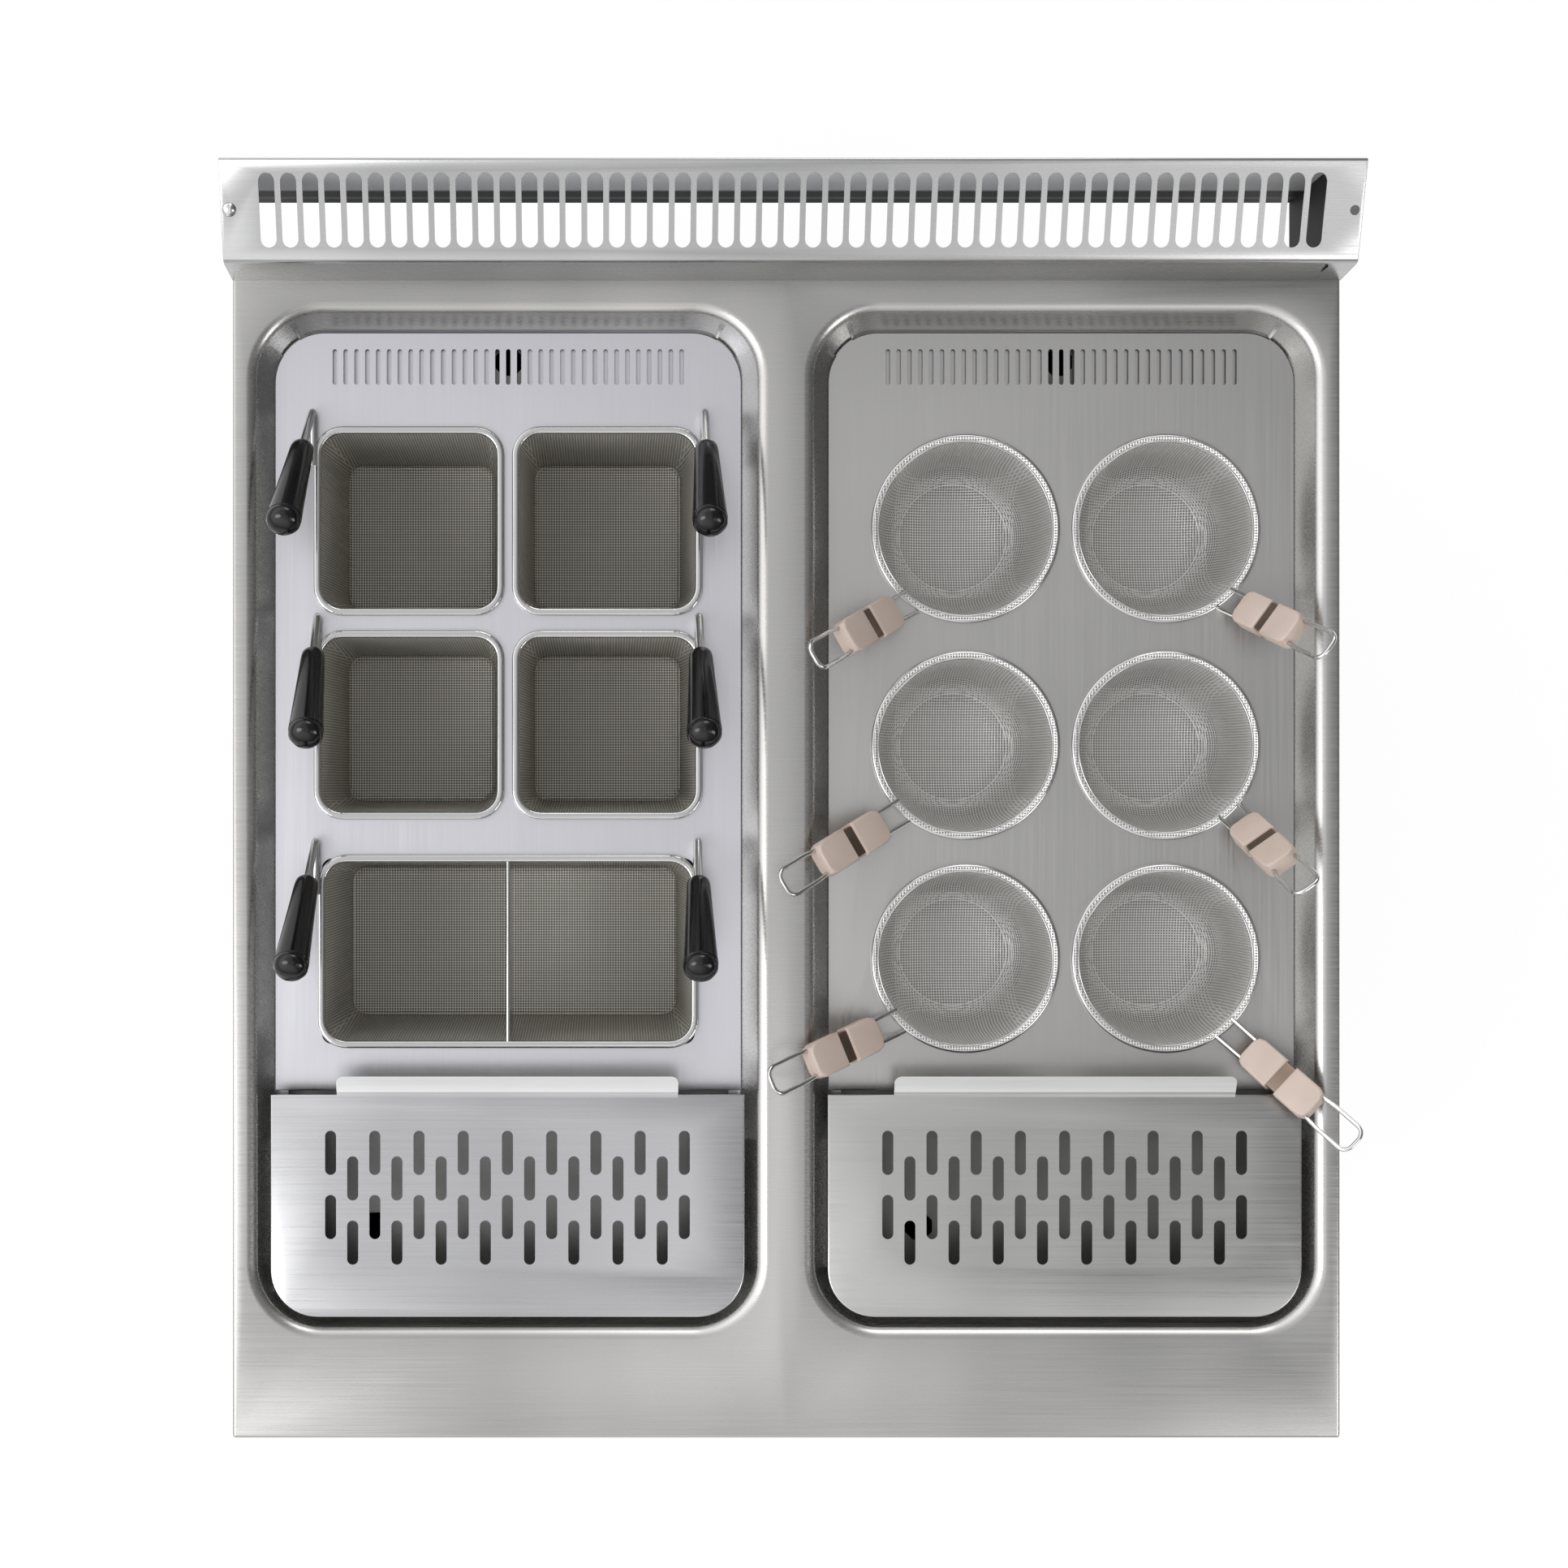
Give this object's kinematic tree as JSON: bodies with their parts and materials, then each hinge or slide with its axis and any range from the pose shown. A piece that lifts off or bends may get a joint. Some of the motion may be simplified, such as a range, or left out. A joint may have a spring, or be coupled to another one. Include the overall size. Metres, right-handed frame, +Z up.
{
  "type": "pasta cooker",
  "caption": "Free-standing electric pasta cooker with a brushed steel worktop, two wells with lift-out mesh baskets and strainers, drain plates and a slotted rear hood.",
  "frame": {"origin": "centre of the footprint on the floor", "axes": "+X to the right seen from the front, +Y to the rear, +Z up"},
  "size_m": [0.8096, 0.908, 0.9485],
  "materials": {
    "steel_worktop": "brushed satin stainless sheet",
    "steel_panel": "brushed satin stainless sheet",
    "steel_tank": "satin stainless sheet",
    "steel_plate": "fine brushed stainless sheet",
    "steel_mesh": "woven stainless wire mesh",
    "steel_wire": "polished stainless wire",
    "steel_plain": "plain stainless",
    "zinc_steel": "zinc plated steel",
    "heater_sheath": "oxidised heating element sheath",
    "plated_brass": "plain cast brass",
    "grip_dark": "glossy black heat resistant plastic",
    "grip_beige": "beige heat resistant plastic",
    "knob_black": "satin black plastic",
    "lamp_lens": "coloured lamp lens",
    "switch_body": "moulded black plastic",
    "box_grey": "grey moulded plastic",
    "lever_red": "red plastic dipped lever"
  },
  "bodies": {
    "cabinet": {"worktop": "steel_worktop", "flue_hood": "steel_worktop", "tank_left": "steel_tank", "tank_right": "steel_tank", "side_panel_left": "steel_panel", "side_panel_right": "steel_panel", "back_panel": "zinc_steel", "base_tray": "zinc_steel", "front_frame": "steel_panel", "control_panel": "steel_panel", "door_hinges": "steel_plain", "leg_tubes": "steel_plain", "pilot_lamps": "lamp_lens", "heat_switches": "switch_body", "heater_left": "heater_sheath", "heater_right": "heater_sheath", "drain_pipe_left": "steel_plain", "drain_pipe_right": "steel_plain", "drain_manifold": "steel_plain", "water_fill_line": "plated_brass", "terminal_box": "box_grey", "cable_gland": "box_grey"},
    "basket_plate": {"basket_plate": "steel_plate"},
    "strainer_plate": {"strainer_plate": "steel_plate"},
    "drain_plate_left": {"drain_plate_left": "steel_plate"},
    "drain_plate_right": {"drain_plate_right": "steel_plate"},
    "basket_1": {"basket_1": "steel_mesh", "basket_1_grip": "grip_dark"},
    "basket_2": {"basket_2": "steel_mesh", "basket_2_grip": "grip_dark"},
    "basket_3": {"basket_3": "steel_mesh", "basket_3_grip": "grip_dark"},
    "basket_4": {"basket_4": "steel_mesh", "basket_4_grip": "grip_dark"},
    "basket_5": {"basket_5": "steel_mesh", "basket_5_grip": "grip_dark"},
    "strainer_1": {"strainer_1": "steel_mesh", "strainer_1_grip": "grip_beige"},
    "strainer_2": {"strainer_2": "steel_mesh", "strainer_2_grip": "grip_beige"},
    "strainer_3": {"strainer_3": "steel_mesh", "strainer_3_grip": "grip_beige"},
    "strainer_4": {"strainer_4": "steel_mesh", "strainer_4_grip": "grip_beige"},
    "strainer_5": {"strainer_5": "steel_mesh", "strainer_5_grip": "grip_beige"},
    "strainer_6": {"strainer_6": "steel_mesh", "strainer_6_grip": "grip_beige"},
    "door_left": {"door_left": "steel_panel"},
    "door_right": {"door_right": "steel_panel"},
    "drain_lever_left": {"drain_lever_left": "lever_red"},
    "drain_lever_right": {"drain_lever_right": "lever_red"},
    "heat_knob_left": {"heat_knob_left": "knob_black"},
    "fill_knob_left": {"fill_knob_left": "knob_black"},
    "heat_knob_right": {"heat_knob_right": "knob_black"},
    "fill_knob_right": {"fill_knob_right": "knob_black"},
    "foot_front_left": {"foot_front_left": "steel_plain"},
    "foot_front_right": {"foot_front_right": "steel_plain"},
    "foot_rear_left": {"foot_rear_left": "steel_plain"},
    "foot_rear_right": {"foot_rear_right": "steel_plain"}
  },
  "joints": [
    {"name": "basket_plate_slide", "type": "slide", "parent": "cabinet", "child": "basket_plate", "axis": [0, 0, 1], "range_m": [0, 0.26]},
    {"name": "basket_1_slide", "type": "slide", "parent": "basket_plate", "child": "basket_1", "axis": [0, 0, 1], "range_m": [0, 0.25]},
    {"name": "basket_2_slide", "type": "slide", "parent": "basket_plate", "child": "basket_2", "axis": [0, 0, 1], "range_m": [0, 0.25]},
    {"name": "basket_3_slide", "type": "slide", "parent": "basket_plate", "child": "basket_3", "axis": [0, 0, 1], "range_m": [0, 0.25]},
    {"name": "basket_4_slide", "type": "slide", "parent": "basket_plate", "child": "basket_4", "axis": [0, 0, 1], "range_m": [0, 0.25]},
    {"name": "basket_5_slide", "type": "slide", "parent": "basket_plate", "child": "basket_5", "axis": [0, 0, 1], "range_m": [0, 0.25]},
    {"name": "drain_plate_left_slide", "type": "slide", "parent": "basket_plate", "child": "drain_plate_left", "axis": [0, 0, 1], "range_m": [0, 0.15]},
    {"name": "strainer_plate_slide", "type": "slide", "parent": "cabinet", "child": "strainer_plate", "axis": [0, 0, 1], "range_m": [0, 0.2]},
    {"name": "strainer_1_slide", "type": "slide", "parent": "strainer_plate", "child": "strainer_1", "axis": [0, 0, 1], "range_m": [0, 0.18]},
    {"name": "strainer_2_slide", "type": "slide", "parent": "strainer_plate", "child": "strainer_2", "axis": [0, 0, 1], "range_m": [0, 0.18]},
    {"name": "strainer_3_slide", "type": "slide", "parent": "strainer_plate", "child": "strainer_3", "axis": [0, 0, 1], "range_m": [0, 0.18]},
    {"name": "strainer_4_slide", "type": "slide", "parent": "strainer_plate", "child": "strainer_4", "axis": [0, 0, 1], "range_m": [0, 0.18]},
    {"name": "strainer_5_slide", "type": "slide", "parent": "strainer_plate", "child": "strainer_5", "axis": [0, 0, 1], "range_m": [0, 0.18]},
    {"name": "drain_plate_right_slide", "type": "slide", "parent": "strainer_plate", "child": "drain_plate_right", "axis": [0, 0, 1], "range_m": [0, 0.15]},
    {"name": "strainer_6_slide", "type": "slide", "parent": "drain_plate_right", "child": "strainer_6", "axis": [0, 0, 1], "range_m": [0, 0.18]},
    {"name": "door_left_turn", "type": "hinge", "parent": "cabinet", "child": "door_left", "pos_m": [-0.3945, -0.415, 0.431], "axis": [0, 0, -1], "range_deg": [0, 110]},
    {"name": "door_right_turn", "type": "hinge", "parent": "cabinet", "child": "door_right", "pos_m": [0.3945, -0.415, 0.431], "axis": [0, 0, 1], "range_deg": [0, 110]},
    {"name": "heat_knob_left_turn", "type": "hinge", "parent": "cabinet", "child": "heat_knob_left", "pos_m": [-0.2616, -0.4095, 0.7545], "axis": [0, 0.9612, -0.276], "range_deg": [0, 270]},
    {"name": "fill_knob_left_turn", "type": "hinge", "parent": "cabinet", "child": "fill_knob_left", "pos_m": [-0.1416, -0.4095, 0.7545], "axis": [0, 0.9612, -0.276], "range_deg": [0, 90]},
    {"name": "heat_knob_right_turn", "type": "hinge", "parent": "cabinet", "child": "heat_knob_right", "pos_m": [0.1416, -0.4095, 0.7545], "axis": [0, 0.9612, -0.276], "range_deg": [0, 270]},
    {"name": "fill_knob_right_turn", "type": "hinge", "parent": "cabinet", "child": "fill_knob_right", "pos_m": [0.2616, -0.4095, 0.7545], "axis": [0, 0.9612, -0.276], "range_deg": [0, 90]},
    {"name": "drain_lever_left_turn", "type": "hinge", "parent": "cabinet", "child": "drain_lever_left", "pos_m": [-0.2016, -0.24, 0.499], "axis": [0, 0, -1], "range_deg": [0, 90]},
    {"name": "drain_lever_right_turn", "type": "hinge", "parent": "cabinet", "child": "drain_lever_right", "pos_m": [0.2016, -0.24, 0.499], "axis": [0, 0, -1], "range_deg": [0, 90]},
    {"name": "foot_front_left_slide", "type": "slide", "parent": "cabinet", "child": "foot_front_left", "axis": [0, 0, -1], "range_m": [0, 0.05]},
    {"name": "foot_front_right_slide", "type": "slide", "parent": "cabinet", "child": "foot_front_right", "axis": [0, 0, -1], "range_m": [0, 0.05]},
    {"name": "foot_rear_left_slide", "type": "slide", "parent": "cabinet", "child": "foot_rear_left", "axis": [0, 0, -1], "range_m": [0, 0.05]},
    {"name": "foot_rear_right_slide", "type": "slide", "parent": "cabinet", "child": "foot_rear_right", "axis": [0, 0, -1], "range_m": [0, 0.05]}
  ]
}
